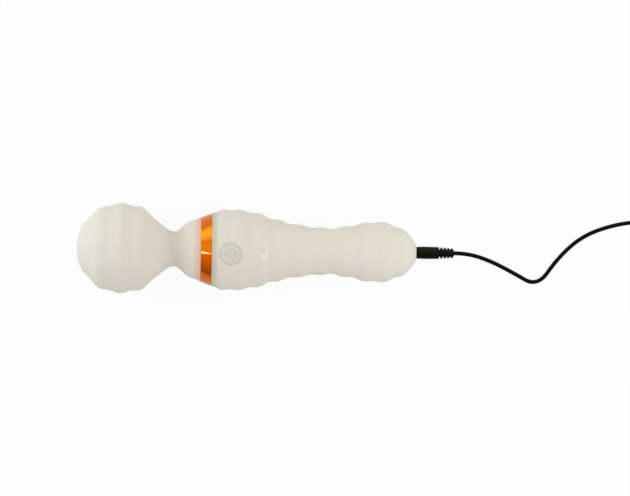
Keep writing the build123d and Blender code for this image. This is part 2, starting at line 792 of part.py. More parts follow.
cell_lead_height = battery_radius - lead_clearance
battery_leads = lead_pair(
    [(battery_front, cell_lead_height), (battery_front - lead_step, cell_lead_height),
     (board_end - lead_clearance, board_height - 4 * lead_radius),
     (board_end - lead_clearance, solder)], cell_lead_spread, cell_lead_bend)
jack_lead_height = jack_radius - jack_lead_inset
jack_lead_end = board_end - 2 * lead_step
jack_leads = lead_pair(
    [(jack_start, jack_lead_height), (jack_start - lead_step, jack_lead_height),
     (jack_start - 2 * lead_step, lead_over_cell),
     (battery_front - lead_clearance, lead_over_cell), (board_end - lead_dip, lead_height),
     (jack_lead_end, lead_height), (jack_lead_end, solder)], lead_spread, jack_lead_bend)

# ---------------------------------------------------------------- buttons
cap_underside = power_floor + button_travel + button_gap / 2
stem_top = board_top + switch_body + stem_stand
power_top = grip_radius - power_brim_depth
power_dish_radius = power_radius - power_rim
scoop = (power_dish_radius ** 2 + power_dish ** 2) / (2 * power_dish)

with BuildPart() as power_button:
    with Locations(above(power_station, cap_underside)):
        Cylinder(power_radius, grip_radius, align=(Align.CENTER, Align.CENTER, Align.MIN))
    add(grip_form.part, mode=Mode.INTERSECT)
    with Locations(above(power_station, power_top - power_dish + scoop)):
        Sphere(scoop, mode=Mode.SUBTRACT)

with BuildPart() as power_plunger:
    with Locations(above(power_station, stem_top + touch_gap)):
        Cylinder(plunger_radius, cap_underside - stem_top - touch_gap,
                 align=(Align.CENTER, Align.CENTER, Align.MIN))
    with Locations(above(power_station, power_floor - shell_wall - touch_gap)):
        Cylinder(plunger_radius + plunger_flange, plunger_foot,
                 align=(Align.CENTER, Align.CENTER, Align.MAX))

mode_underside = mode_floor + button_travel + button_gap / 2
mode_top = grip_radius - mode_top_depth
with BuildPart() as mode_button:
    with Locations(above(mode_station, mode_underside)):
        Cylinder(mode_radius, grip_radius, align=(Align.CENTER, Align.CENTER, Align.MIN))
    with Locations(above(mode_station, mode_top - mode_dish + mode_dish_radius)):
        Sphere(mode_dish_radius, mode=Mode.SUBTRACT)
    add(grip_form.part, mode=Mode.INTERSECT)
    with Locations(above(mode_station, mode_underside)):
        Cylinder(mode_stub_radius, mode_underside - stem_top - touch_gap,
                 align=(Align.CENTER, Align.CENTER, Align.MAX))

# ---------------------------------------------------------------- charging jack and plug
plug_face = wand_length + plug_gap
barrel_tip = plug_face - barrel_length
jack_inner_end = tail_shell_end - shell_wall - loose_fit
with BuildPart() as charging_jack:
    with BuildSketch(side):
        band(jack_start, jack_inner_end, 0, jack_radius)
        band(jack_inner_end, wand_length - jack_recess, 0, jack_nose_radius)
        band(barrel_tip - jack_bore_spare, wand_length, 0, barrel_radius + jack_bore_gap,
             mode=Mode.SUBTRACT)
    revolve(axis=wand_axis)

with BuildPart() as jack_pin:
    with BuildSketch(across(barrel_tip - jack_bore_spare)):
        Circle(pin_radius)
    extrude(amount=barrel_length - pin_inset)

plug_end = plug_face + plug_length
relief_end = plug_end + relief_length
with BuildPart() as plug_body:
    with BuildSketch(side):
        with BuildLine():
            FilletPolyline((plug_face, 0), (plug_face, plug_front_radius),
                           (plug_face + plug_belly, plug_belly_radius),
                           (plug_end, plug_rear_radius), (plug_end, 0), radius=plug_edge)
            Line((plug_end, 0), (plug_face, 0))
        make_face()
        band(plug_face, plug_face + barrel_root, 0, barrel_radius, mode=Mode.SUBTRACT)
    revolve(axis=wand_axis)

with BuildPart() as plug_barrel:
    with BuildSketch(side):
        band(barrel_tip, plug_face + barrel_root, 0, barrel_radius)
        band(barrel_tip, plug_face, 0, barrel_bore, mode=Mode.SUBTRACT)
    revolve(axis=wand_axis)

relief_shoulder = relief_end - relief_tip
with BuildPart() as plug_relief:
    with BuildSketch(side):
        with BuildLine():
            Polyline((plug_end, 0), (plug_end, relief_front_radius),
                     (relief_shoulder, relief_rear_radius), (relief_end, cord_radius + relief_lip),
                     (relief_end, 0), (plug_end, 0))
        make_face()
        for count in range(relief_grooves):
            start = plug_end + count * relief_pitch
            band(start, start + groove_width, relief_core_radius, 2 * relief_front_radius,
                 mode=Mode.SUBTRACT)
    revolve(axis=wand_axis)

# ---------------------------------------------------------------- cord
usb_height = usb_grip_height / 2
cord_exit = place(relief_end, 0, 0)
cord_run = [
    cord_exit, cord_exit + along * cord_start_run,
    Vector(150.2, -4.6, 14.5), Vector(165.0, -12.8, 5.8), Vector(181.3, -22.3, 1.3),
    Vector(193.6, -3.6, 1.3), Vector(208.8, 10.6, 1.3), Vector(229.5, 18.2, 1.3),
    Vector(249.5, 20.5, 1.5), Vector(266.4, 20.0, 1.9),
]
cord_tail_run = [
    Vector(292.6, -6.2, 6.9), Vector(294.4, -14.6, 5.6), Vector(293.6, -23.1, 4.4),
    Vector(287.8, usb_y, usb_height), Vector(usb_start_x, usb_y, usb_height),
]


def bend_radii(points):
    """Arc for each corner: a share of its shorter run over the tangent of half the turn."""
    radii = []
    for before, corner, after in zip(points, points[1:], points[2:]):
        half_turn = radians((corner - before).get_angle(after - corner)) / 2
        shorter = min((corner - before).length, (after - corner).length)
        radii.append(bend_share * shorter / tan(half_turn))
    return radii


def cord_tube(name, points):
    """Round cord along straight runs and tangent arcs; prints how tightly it bends."""
    radii = bend_radii(points)
    with BuildPart() as tube:
        with BuildLine():
            path = FilletPolyline(*points, radius=radii)
        with BuildSketch(Plane(origin=path @ 0, z_dir=path % 0)):
            Circle(cord_radius)
        sweep(path=path)
    expected = pi * cord_radius ** 2 * path.length
    print(name, "radii", [round(radius, 1) for radius in radii],
          "length", round(path.length, 1), "volume ratio", round(tube.part.volume / expected, 4))
    return tube


charging_cord = cord_tube("charging_cord", cord_run)
cord_tail = cord_tube("cord_tail", cord_tail_run)

coil_section = coil_across * 2 * cord_radius
coil_height = coil_layers * 2 * cord_radius
coil_floor = tie_thick + tie_fit
coil_axis = Axis((coil_x, coil_y, 0), (0, 0, 1))
coil_side = Plane(origin=(coil_x, coil_y, coil_floor + coil_height / 2), x_dir=(-1, 0, 0),
                  z_dir=(0, 1, 0))
with BuildPart() as cord_coil:
    with BuildSketch(coil_side):
        with Locations((coil_mid_radius, 0)):
            RectangleRounded(coil_section, coil_height, cord_radius)
    revolve(axis=coil_axis)

tie_angle = tie_width / coil_mid_radius * 180 / pi
with BuildPart() as cord_tie:
    with BuildSketch(coil_side):
        with Locations((coil_mid_radius, 0)):
            grow = 2 * (tie_fit + tie_thick)
            RectangleRounded(coil_section + grow, coil_height + grow, cord_radius + grow / 2)
            RectangleRounded(coil_section + 2 * tie_fit, coil_height + 2 * tie_fit,
                             cord_radius + tie_fit, mode=Mode.SUBTRACT)
    revolve(axis=coil_axis, revolution_arc=tie_angle)

# ---------------------------------------------------------------- USB plug
grip_back = usb_start_x - usb_relief_length
grip_face = grip_back - usb_grip_length


def facing_front(x):
    """Plane square to the USB plug's length, facing its shell, with its Y up."""
    return Plane(origin=(x, usb_y, usb_height), x_dir=(0, -1, 0), z_dir=(-1, 0, 0))


with BuildPart() as usb_grip:
    with BuildSketch(facing_front(grip_back)):
        RectangleRounded(usb_grip_width, usb_grip_height, usb_grip_corner)
    extrude(amount=usb_grip_length)
    fillet(faces().sort_by(Axis.X)[-1].edges(), radius=usb_grip_rounding)
    with BuildSketch(facing_front(usb_start_x)):
        Circle(cord_radius + usb_relief_lip)
    with BuildSketch(facing_front(grip_back)):
        Circle(usb_relief_radius)
    loft()
    with BuildSketch(facing_front(grip_face)):
        Rectangle(usb_shell_width, usb_shell_height)
    extrude(amount=-usb_shell_root, mode=Mode.SUBTRACT)

with BuildPart() as usb_shell:
    with BuildSketch(facing_front(grip_face + usb_shell_root)):
        Rectangle(usb_shell_width, usb_shell_height)
        Rectangle(usb_shell_width - 2 * usb_shell_wall, usb_shell_height - 2 * usb_shell_wall,
                  mode=Mode.SUBTRACT)
    extrude(amount=usb_shell_root + usb_shell_length)
    latch_x = grip_face - usb_shell_length * usb_latch_share
    with Locations(*((latch_x, usb_y + end * usb_shell_width / 4, usb_height) for end in (-1, 1))):
        Box(usb_latch, usb_latch, 2 * usb_shell_height, mode=Mode.SUBTRACT)

tongue_width = usb_shell_width - 2 * usb_shell_wall - loose_fit
tongue_top = usb_shell_height / 2 - usb_shell_wall - loose_fit / 2
with BuildPart() as usb_tongue:
    with BuildSketch(facing_front(grip_face + usb_shell_root)):
        Rectangle(tongue_width, 2 * tongue_top)
    extrude(amount=usb_shell_root)
    with BuildSketch(facing_front(grip_face)):
        with Locations((0, tongue_top - usb_tongue_height / 2)):
            Rectangle(tongue_width, usb_tongue_height)
    extrude(amount=usb_shell_length - usb_tongue_inset)

with BuildPart() as usb_contacts:
    with BuildSketch(facing_front(grip_face - usb_contact_inset)):
        with Locations((0, tongue_top - usb_tongue_height - usb_contact_height / 2)):
            with GridLocations(usb_contact_pitch, 1, usb_contact_count, 1):
                Rectangle(usb_contact_width, usb_contact_height)
    extrude(amount=usb_shell_length - 3 * usb_contact_inset)

# ---------------------------------------------------------------- files
pieces = {
    "head_sleeve": head_sleeve, "neck_sleeve": neck_sleeve, "shoulder_sleeve": shoulder_sleeve,
    "trim_ring": trim_ring, "handle_sleeve": handle_sleeve,
    "head_shell_upper": head_shell_upper, "head_shell_lower": head_shell_lower,
    "head_screws": head_screws, "motor_can": motor_can, "motor_end_cap": motor_end_cap,
    "motor_bushing": motor_bushing, "motor_cradle": motor_cradle, "motor_shaft": motor_shaft,
    "eccentric_weight": eccentric_weight, "front_spring_cup": front_spring_cup,
    "rear_spring_cup": rear_spring_cup, "neck_spring": neck_spring,
    "handle_shell_upper": handle_shell_upper, "handle_shell_lower": handle_shell_lower,
    "shell_screws": shell_screws, "circuit_board": circuit_board, "board_screws": board_screws,
    "power_switch": power_switch, "mode_switch": mode_switch,
    "power_switch_stem": power_switch_stem, "mode_switch_stem": mode_switch_stem,
    "status_led": status_led, "battery_cell": battery_cell, "battery_cradle": battery_cradle,
    "motor_leads": motor_leads, "battery_leads": battery_leads, "jack_leads": jack_leads,
    "power_button": power_button, "power_plunger": power_plunger, "mode_button": mode_button,
    "charging_jack": charging_jack, "jack_pin": jack_pin, "plug_body": plug_body,
    "plug_barrel": plug_barrel, "plug_relief": plug_relief, "charging_cord": charging_cord,
    "cord_tail": cord_tail, "cord_coil": cord_coil, "cord_tie": cord_tie, "usb_grip": usb_grip,
    "usb_shell": usb_shell, "usb_tongue": usb_tongue, "usb_contacts": usb_contacts,
}
for name, piece in pieces.items():
    piece.part.label = name
    export_step(piece.part, f"parts/{name}.step")
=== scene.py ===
"""Dresses the wand massager: silicone skins, mirrored ring, buttons, charging lead, studio."""
import bmesh
import bpy
import json
import numpy as np
from math import cos, pi, radians, sin
from mathutils import Matrix, Vector


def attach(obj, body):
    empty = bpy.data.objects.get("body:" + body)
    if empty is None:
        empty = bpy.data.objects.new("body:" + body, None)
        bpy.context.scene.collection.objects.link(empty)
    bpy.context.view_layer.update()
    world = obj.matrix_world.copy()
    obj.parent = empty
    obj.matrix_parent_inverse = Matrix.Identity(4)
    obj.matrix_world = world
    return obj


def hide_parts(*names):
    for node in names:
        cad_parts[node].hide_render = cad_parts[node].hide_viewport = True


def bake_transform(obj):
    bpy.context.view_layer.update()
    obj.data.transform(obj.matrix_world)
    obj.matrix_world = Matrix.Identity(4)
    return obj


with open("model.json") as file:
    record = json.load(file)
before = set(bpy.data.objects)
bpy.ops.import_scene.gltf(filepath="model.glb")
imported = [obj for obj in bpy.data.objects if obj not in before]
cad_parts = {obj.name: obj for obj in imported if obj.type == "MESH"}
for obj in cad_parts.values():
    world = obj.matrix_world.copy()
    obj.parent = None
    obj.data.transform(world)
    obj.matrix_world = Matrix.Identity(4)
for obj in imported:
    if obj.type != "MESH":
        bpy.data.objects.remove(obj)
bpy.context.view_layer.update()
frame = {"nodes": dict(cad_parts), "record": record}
MM = 0.001

# ------------------------------------------------------------------ frame of the wand
joints = {joint["name"]: joint for joint in frame["record"]["behaviour"]["joints"]}
along = Vector(joints["plug_pull"]["axis"])
upward = -Vector(joints["power_button_press"]["axis"])
motor_station = 18.5
tip = Vector(joints["motor_spin"]["pos_m"]) - along * motor_station * MM
# wand space, in metres: X is the station from the head's tip, Y aside, Z up from the axis
wand = Matrix.Translation(tip) @ Matrix((along, Vector((0, 1, 0)), upward)).transposed().to_4x4()


def place(station):
    """Point of the shared frame on the wand's axis, at a station in millimetres."""
    return wand @ Vector((station * MM, 0, 0))


# ------------------------------------------------------------------ outline, in millimetres
head_radius = 27.9
head_crest = 27.5
waist = 59.6
waist_radius = 10.75
ring_front = 76.4
ring_rear = 83.1
ring_front_radius = 19.86
ring_rear_radius = 22.27
ring_crown = 0.2
grip_crest = 99.7
grip_radius = 24.95
grip_waist = 156.8
grip_waist_radius = 13.85
tail_crest = 188.3
tail_radius = 18.65
wand_length = 209.4
tail_flat_radius = 5.0
outline_spacing = 0.6


def stretch(start, end, *shares):
    """Outline points from one key point up to another, by shares of the way and the rise."""
    return [start] + [(start[0] + way * (end[0] - start[0]), start[1] + rise * (end[1] - start[1]))
                      for way, rise in shares]


head_tip = (0, 0)
head_ridge = (head_crest, head_radius)
neck_waist = (waist, waist_radius)
ring_front_edge = (ring_front, ring_front_radius)
ring_rear_edge = (ring_rear, ring_rear_radius)
grip_ridge = (grip_crest, grip_radius)
grip_middle = (grip_waist, grip_waist_radius)
tail_ridge = (tail_crest, tail_radius)
charging_end = (wand_length, tail_flat_radius)
head_outline = [
    *stretch(head_tip, head_ridge, (0.036, 0.274), (0.080, 0.407), (0.153, 0.527), (0.255, 0.627),
             (0.345, 0.729), (0.436, 0.833), (0.564, 0.903), (0.705, 0.926), (0.836, 0.962)),
    *stretch(head_ridge, neck_waist, (0.115, 0.055), (0.218, 0.105), (0.336, 0.113),
             (0.402, 0.149), (0.520, 0.350), (0.636, 0.557), (0.751, 0.720), (0.866, 0.892)),
    *stretch(neck_waist, ring_front_edge, (0.184, 0.098), (0.405, 0.467), (0.625, 0.719),
             (0.845, 0.862)),
    ring_front_edge,
]
grip_outline = [
    *stretch(ring_rear_edge, grip_ridge, (0.187, 0.422), (0.392, 0.962), (0.699, 0.757)),
    *stretch(grip_ridge, grip_middle, (0.119, 0.171), (0.212, 0.194), (0.259, 0.266),
             (0.333, 0.482), (0.426, 0.523), (0.557, 0.766), (0.662, 0.779), (0.797, 0.950),
             (0.893, 0.905)),
    *stretch(grip_middle, tail_ridge, (0.254, 0.375), (0.435, 0.417), (0.651, 0.906),
             (0.816, 0.865)),
    *stretch(tail_ridge, charging_end, (0.185, 0.059), (0.365, 0.212), (0.555, 0.278),
             (0.782, 0.531)),
    charging_end,
]


def smooth_line(points, spacing):
    """Points about spacing apart on the natural cubic spline through an outline's points."""
    knots = np.array(points, float)
    gaps = np.hypot(*np.diff(knots, axis=0).T)
    at = np.concatenate([[0], np.cumsum(gaps)])
    count = len(at)
    system = np.eye(count)
    right = np.zeros((count, 2))
    slopes = np.diff(knots, axis=0) / gaps[:, None]
    for i in range(1, count - 1):
        system[i, i - 1:i + 2] = gaps[i - 1], 2 * (gaps[i - 1] + gaps[i]), gaps[i]
        right[i] = 6 * (slopes[i] - slopes[i - 1])
    bend = np.linalg.solve(system, right)
    where = np.linspace(0, at[-1], int(round(at[-1] / spacing)) + 1)
    i = np.clip(np.searchsorted(at, where, side="right") - 1, 0, count - 2)
    gap, before, after = gaps[i, None], (at[i + 1] - where)[:, None], (where - at[i])[:, None]
    curve = (bend[i] * before ** 3 + bend[i + 1] * after ** 3) / (6 * gap)
    curve += (knots[i] / gap - bend[i] * gap / 6) * before
    curve += (knots[i + 1] / gap - bend[i + 1] * gap / 6) * after
    return [(float(s), float(max(r, 0))) for s, r in curve]


grip_line = smooth_line(grip_outline, outline_spacing)
grip_stations, grip_radii = np.array(grip_line).T


def grip_surface(station, aside):
    """Height of the grip's skin above the axis, over a place on its top."""
    radius = np.interp(station, grip_stations, grip_radii)
    return (radius ** 2 - aside ** 2) ** 0.5


# ------------------------------------------------------------------ making meshes
weld_distance = 1e-6
sharp_from = radians(35)


def finished(name, bm, material, body=None):
    """Object of a bmesh in wand space: in its place, normals out, smooth between sharp edges."""
    bmesh.ops.transform(bm, matrix=wand, verts=bm.verts)
    bmesh.ops.recalc_face_normals(bm, faces=bm.faces)
    mesh = bpy.data.meshes.new(name)
    bm.to_mesh(mesh)
    bm.free()
    mesh.shade_smooth()
    mesh.set_sharp_from_angle(angle=sharp_from)
    mesh.materials.append(material)
    piece = bpy.data.objects.new(name, mesh)
    bpy.context.scene.collection.objects.link(piece)
    if body:
        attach(piece, body)
    return piece


def add_turned(bm, points, steps, axis, centre=(0, 0, 0), closed=False):
    """Turns a line of points, in millimetres, once round an axis; gives the new vertices."""
    earlier = set(bm.verts)
    verts = [bm.verts.new([value * MM for value in point]) for point in points]
    following = verts[1:] + verts[:1] if closed else verts[1:]
    edges = [bm.edges.new(pair) for pair in zip(verts, following)]
    bmesh.ops.spin(bm, geom=verts + edges, cent=centre, axis=axis, angle=2 * pi, steps=steps,
                   use_merge=True)
    bmesh.ops.remove_doubles(bm, verts=[vert for vert in bm.verts if vert not in earlier],
                             dist=weld_distance)
    return [vert for vert in bm.verts if vert not in earlier]


def spun(outline, steps):
    """bmesh of a closed outline of (station, radius) turned round the wand's axis."""
    bm = bmesh.new()
    add_turned(bm, [(s, 0, r) for s, r in outline], steps, (1, 0, 0), closed=True)
    return bm


def standing(outline, steps, station):
    """bmesh of an outline of (radius, height) turned round a line up from the wand's axis."""
    bm = bmesh.new()
    add_turned(bm, [(r, 0, h) for r, h in outline], steps, (0, 0, 1))
    bmesh.ops.translate(bm, vec=(station * MM, 0, 0), verts=bm.verts)
    return bm


def cut_away(bm, station, keep_front):
    """Cuts a form square to the axis, keeps one side and gives the rim of the open cut."""
    cut = bmesh.ops.bisect_plane(
        bm, geom=bm.verts[:] + bm.edges[:] + bm.faces[:], plane_co=(station * MM, 0, 0),
        plane_no=(1, 0, 0), clear_outer=keep_front, clear_inner=not keep_front)
    return [item for item in cut["geom_cut"] if isinstance(item, bmesh.types.BMEdge)]


# ------------------------------------------------------------------ finishes
grain_height = 0.05
roughness_spread = 0.1


def fill_ramp(node, stops):
    """Gives a new colour ramp its stops of (share of the way, colour)."""
    elements = node.color_ramp.elements
    elements.remove(elements[1])
    for count, (share, colour) in enumerate(stops):
        stop = elements[0] if count == 0 else elements.new(share)
        stop.position = share
        stop.color = (*colour, 1)


def finish(name, colour, roughness, metallic=0.0, coat=0.0, coat_roughness=0.1, grain=900.0,
           bump=0.0, drift=0.04, patch=60.0, specular=0.5):
    """Principled finish with a fine grain in its roughness and bump and a slow colour drift."""
    material = bpy.data.materials.new(name)
    material.use_nodes = True
    nodes, links = material.node_tree.nodes, material.node_tree.links
    shader = nodes["Principled BSDF"]
    shader.inputs["Metallic"].default_value = metallic
    shader.inputs["Coat Weight"].default_value = coat
    shader.inputs["Coat Roughness"].default_value = coat_roughness
    shader.inputs["Specular IOR Level"].default_value = specular
    coordinates = nodes.new("ShaderNodeTexCoord")
    slow = nodes.new("ShaderNodeTexNoise")
    slow.inputs["Scale"].default_value = patch
    slow.inputs["Detail"].default_value = 3.0
    ramp = nodes.new("ShaderNodeValToRGB")
    dark = [channel * (1 - drift) for channel in colour]
    light = [min(channel * (1 + drift), 1.0) for channel in colour]
    fill_ramp(ramp, ((0.3, dark), (0.7, light)))
    links.new(coordinates.outputs["Object"], slow.inputs["Vector"])
    links.new(slow.outputs["Fac"], ramp.inputs["Fac"])
    links.new(ramp.outputs["Color"], shader.inputs["Base Color"])
    fine = nodes.new("ShaderNodeTexNoise")
    fine.inputs["Scale"].default_value = grain
    fine.inputs["Detail"].default_value = 2.0
    links.new(coordinates.outputs["Object"], fine.inputs["Vector"])
    spread = nodes.new("ShaderNodeMapRange")
    spread.inputs["To Min"].default_value = roughness * (1 - roughness_spread)
    spread.inputs["To Max"].default_value = min(roughness * (1 + roughness_spread), 1.0)
    links.new(fine.outputs["Fac"], spread.inputs["Value"])
    links.new(spread.outputs["Result"], shader.inputs["Roughness"])
    if bump:
        relief = nodes.new("ShaderNodeBump")
        relief.inputs["Strength"].default_value = bump
        relief.inputs["Distance"].default_value = grain_height * MM
        links.new(fine.outputs["Fac"], relief.inputs["Height"])
        links.new(relief.outputs["Normal"], shader.inputs["Normal"])
    return material


def paint_light_along(material, stops):
    """Multiplies a finish's colour along the wand by stops of (station, red, green, blue), painting
    light and shade along it.
    """
    nodes, links = material.node_tree.nodes, material.node_tree.links
    shader = nodes["Principled BSDF"]
    plain = shader.inputs["Base Color"].links[0].from_socket
    coordinates = nodes.new("ShaderNodeTexCoord")
    station = nodes.new("ShaderNodeVectorMath")
    station.operation = "DOT_PRODUCT"
    station.inputs[1].default_value = along
    first, last = stops[0][0], stops[-1][0]
    share = nodes.new("ShaderNodeMapRange")
    share.inputs["From Min"].default_value = place(first).dot(along)
    share.inputs["From Max"].default_value = place(last).dot(along)
    tint = nodes.new("ShaderNodeValToRGB")
    fill_ramp(tint, [((at - first) / (last - first), colour) for at, *colour in stops])
    product = nodes.new("ShaderNodeVectorMath")
    product.operation = "MULTIPLY"
    links.new(coordinates.outputs["Object"], station.inputs[0])
    links.new(station.outputs["Value"], share.inputs["Value"])
    links.new(share.outputs["Result"], tint.inputs["Fac"])
    links.new(plain, product.inputs[0])
    links.new(tint.outputs["Color"], product.inputs[1])
    links.new(product.outputs["Vector"], shader.inputs["Base Color"])


silicone = finish("cream_silicone", (0.790, 0.728, 0.640), 0.6, grain=2600, bump=0.3, drift=0.012,
                  patch=45, specular=0.18)
# painted light and shade along the wand: painted shade on the darker waist, the ring's glow painted
# before it as its reflection, its edge's shade painted behind it, and a faint cool tint painted at
# both ends for the side lamps' light
paint_light_along(silicone, (
    (0, 0.985, 1.02, 1.03), (22, 1, 1, 1), (50, 1, 1, 1), (54.5, 0.95, 0.95, 0.95),
    (59.3, 0.905, 0.905, 0.905), (64, 0.95, 0.95, 0.95), (69.5, 1, 1, 1), (71.6, 1, 0.97, 0.965),
    (73.0, 1, 0.90, 0.87), (74.4, 1, 0.81, 0.74), (75.6, 1, 0.73, 0.64), (76.3, 1, 0.66, 0.46),
    (76.6, 1, 0.66, 0.46), (83.0, 0.81, 0.78, 0.66), (84.4, 0.81, 0.79, 0.69),
    (85.05, 0.81, 0.807, 0.74), (85.65, 0.84, 0.852, 0.805), (86.25, 0.893, 0.91, 0.893),
    (86.9, 0.935, 0.95, 0.935), (87.5, 0.97, 0.985, 0.978), (88.4, 1, 1, 1), (190, 1, 1, 1),
    (wand_length, 0.99, 1.035, 1.03)))
ring_metal = finish("orange_mirror", (0.72, 0.157, 0.0025), 0.05, metallic=1.0, grain=1500,
                    drift=0.02, patch=30, coat=0.1, coat_roughness=0.03)
button_plastic = finish("button_plastic", (0.705, 0.694, 0.587), 0.5, grain=2000, bump=0.1,
                        drift=0.01)
lens_plastic = finish("lens_plastic", (0.672, 0.644, 0.555), 0.45, grain=2000, bump=0.1,
                      drift=0.01)
mark_print = finish("pale_print", (0.91, 0.87, 0.80), 0.5, grain=2000, drift=0.01)
plug_black = finish("plug_black", (0.0022, 0.0022, 0.0020), 0.38, grain=1800, bump=0.3, drift=0.15,
                    specular=0.09)
cord_black = finish("cord_black", (0.0016, 0.0016, 0.0016), 0.32, grain=1400, bump=0.25,
                    drift=0.15, specular=0.06)
ivory_shell = finish("ivory_shell", (0.70, 0.68, 0.61), 0.45, grain=1500, bump=0.2)
bright_steel = finish("bright_steel", (0.60, 0.60, 0.60), 0.28, metallic=1.0, grain=1200, bump=0.1)
drawn_steel = finish("drawn_steel", (0.48, 0.48, 0.46), 0.36, metallic=1.0, grain=500, bump=0.2)
black_moulding = finish("black_moulding", (0.02, 0.02, 0.02), 0.45, grain=1500, bump=0.2, drift=0.1)
soft_rubber = finish("soft_black_rubber", (0.025, 0.025, 0.024), 0.75, grain=1100, bump=0.4,
                     drift=0.15)
turned_brass = finish("turned_brass", (0.72, 0.50, 0.20), 0.3, metallic=1.0, grain=900, bump=0.15)
green_board = finish("green_board", (0.015, 0.16, 0.05), 0.3, grain=700, bump=0.15, drift=0.25,
                     patch=400)
led_lens = finish("led_lens", (0.80, 0.80, 0.74), 0.2, grain=1500)
cell_wrap = finish("cell_wrap", (0.03, 0.10, 0.33), 0.3, grain=1200, bump=0.1)
lead_red = finish("lead_insulation", (0.40, 0.02, 0.02), 0.45, grain=1500, bump=0.1)
nickel = finish("nickel_plate", (0.55, 0.54, 0.52), 0.2, metallic=1.0, grain=1300, bump=0.05)
white_insert = finish("white_insert", (0.75, 0.75, 0.74), 0.4, grain=1500, bump=0.1)
gold_flash = finish("gold_flash", (0.83, 0.58, 0.22), 0.22, metallic=1.0, grain=1400)

cad_finishes = {
    ivory_shell: ("head_shell_upper", "head_shell_lower", "handle_shell_upper",
                  "handle_shell_lower", "battery_cradle", "power_plunger"),
    bright_steel: ("head_screws", "shell_screws", "board_screws", "motor_shaft",
                   "front_spring_cup", "rear_spring_cup"),
    drawn_steel: ("motor_can",),
    black_moulding: ("motor_end_cap", "power_switch", "mode_switch", "charging_jack",
                     "power_switch_stem", "mode_switch_stem", "cord_tie"),
    turned_brass: ("motor_bushing", "eccentric_weight", "jack_pin"),
    soft_rubber: ("motor_cradle",),
    green_board: ("circuit_board",),
    led_lens: ("status_led",),
    cell_wrap: ("battery_cell",),
    lead_red: ("battery_leads", "jack_leads"),
    nickel: ("plug_barrel", "usb_shell"),
    plug_black: ("plug_body", "plug_relief", "usb_grip"),
    white_insert: ("usb_tongue",),
    gold_flash: ("usb_contacts",),
}
for material, names in cad_finishes.items():
    for name in names:
        node = frame["nodes"][name]
        if node.material_slots:
            for material_slot in node.material_slots:
                material_slot.material = material
        else:
            node.data.materials.append(material)


# ------------------------------------------------------------------ silicone skins
front_steps = 192
grip_steps = 256


def bend_with_neck(front, rear):
    """Bakes where the two halves of something that runs through the neck are placed into their
    meshes.
    """
    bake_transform(front)
    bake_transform(rear)


def front_skin(keep_front):
    """Head, neck and shoulder as one hollow boot, cut at the waist to either half."""
    outside = smooth_line(head_outline, outline_spacing)
    inside = [(ring_front, 15.3), (70.2, 15.1), (66.0, 8.4), (54.0, 8.3), (50.5, 13.0),
              (38.5, 23.2), (16.0, 23.2), (2.8, 9.0), (2.4, 0)]
    bm = spun(outside + inside, front_steps)
    bmesh.ops.bridge_loops(bm, edges=cut_away(bm, waist, keep_front))
    return bm


head_skin = finished("head_skin", front_skin(True), silicone)
shoulder_skin = finished("shoulder_skin", front_skin(False), silicone)
bend_with_neck(head_skin, shoulder_skin)
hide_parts("head_sleeve", "neck_sleeve")
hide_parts("shoulder_sleeve")

# power button: a rimmed cap with a dished lens, in a well with a soft moat round it
power_station = 94.5
cap_radius = 6.25
lens_radius = 3.7
cap_gap = 0.06
well_depth = 2.4
well_lean = 0.04
moat_radius = 7.6
moat_depth = 0.85
moat_slope_start, moat_slope_end = moat_radius - 0.95, moat_radius + 0.4
# mode button: a soft pad that fills a hole in a thumb dish
mode_station = grip_crest + 0.25 * (grip_waist - grip_crest)
pad_radius = 5.6
pad_room = 1.5
pad_gap = 0.02
dish_radius = 6.4
dish_depth = 0.55
# rows of vertices round a button: the innermost ring, and how far the others keep from edges
inner_row = 3
row_margin = 0.1


def smooth_step(value, start, end):
    """0 before start, 1 after end and an even slope between."""
    share = np.clip((value - start) / (end - start), 0, 1)
    return share * share * (3 - 2 * share)


def pad_dish(from_middle):
    """Depth of the thumb dish of the mode button at a distance from its middle."""
    return dish_depth * (1 - smooth_step(from_middle, 0, dish_radius))


def press_in(bm, station, rows):
    """Swaps the top of the grip's skin round a station for round rows of (distance, depth)."""
    skin_grid, steps = 0.9, 128
    above_axis, under_skin = 15, 0.3
    reach = rows[-1][0] + skin_grid + row_margin

    def replaced(vert):
        """Whether a vertex is on the outside of the skin and within reach of the button."""
        here, aside, height = vert.co
        return (height > above_axis * MM
                and np.hypot(here / MM - station, aside / MM) < reach
                and np.hypot(aside, height) / MM
                > np.interp(here / MM, grip_stations, grip_radii) - under_skin)

    gone = [face for face in bm.faces if all(replaced(vert) for vert in face.verts)]
    bmesh.ops.delete(bm, geom=gone, context="FACES")
    line = [(station + distance, 0, -depth) for distance, depth in rows]
    for vert in add_turned(bm, line, steps, (0, 0, 1), centre=(station * MM, 0, 0)):
        vert.co.z += grip_surface(vert.co.x / MM, vert.co.y / MM) * MM
    bmesh.ops.triangle_fill(bm, edges=[edge for edge in bm.edges if edge.is_boundary],
                            use_beauty=True, normal=(0, 0, 1))


def grip_skin():
    """Grip as a hollow turned skin with the moat, well and dish of the buttons pressed in."""
    inside = [(wand_length, 3.5), (204.0, 3.5), (203.5, 8.0), (188.0, 15.5), (157.0, 11.6),
              (132.0, 13.9), (107.0, 20.6), (100.0, 22.2), (88.0, 22.2), (ring_rear, 20.6)]
    bm = spun(grip_line + inside, grip_steps)
    well = cap_radius + cap_gap
    moat = [(r, moat_depth * (1 - smooth_step(r, moat_slope_start, moat_slope_end)))
            for r in np.linspace(well + row_margin, moat_slope_end + row_margin, 17)]
    press_in(bm, power_station, [(0, well_depth), (inner_row, well_depth), (well, well_depth),
                                 (well + well_lean, moat_depth), *moat])
    hole = pad_radius + pad_gap
    dish = [(r, pad_dish(r)) for r in np.linspace(hole + row_margin, dish_radius + row_margin, 9)]
    press_in(bm, mode_station, [
        (0, pad_room + dish_depth), (inner_row, pad_room + pad_dish(inner_row)),
        (hole, pad_room + pad_dish(hole)), (hole, pad_dish(hole)), *dish])
    return bm


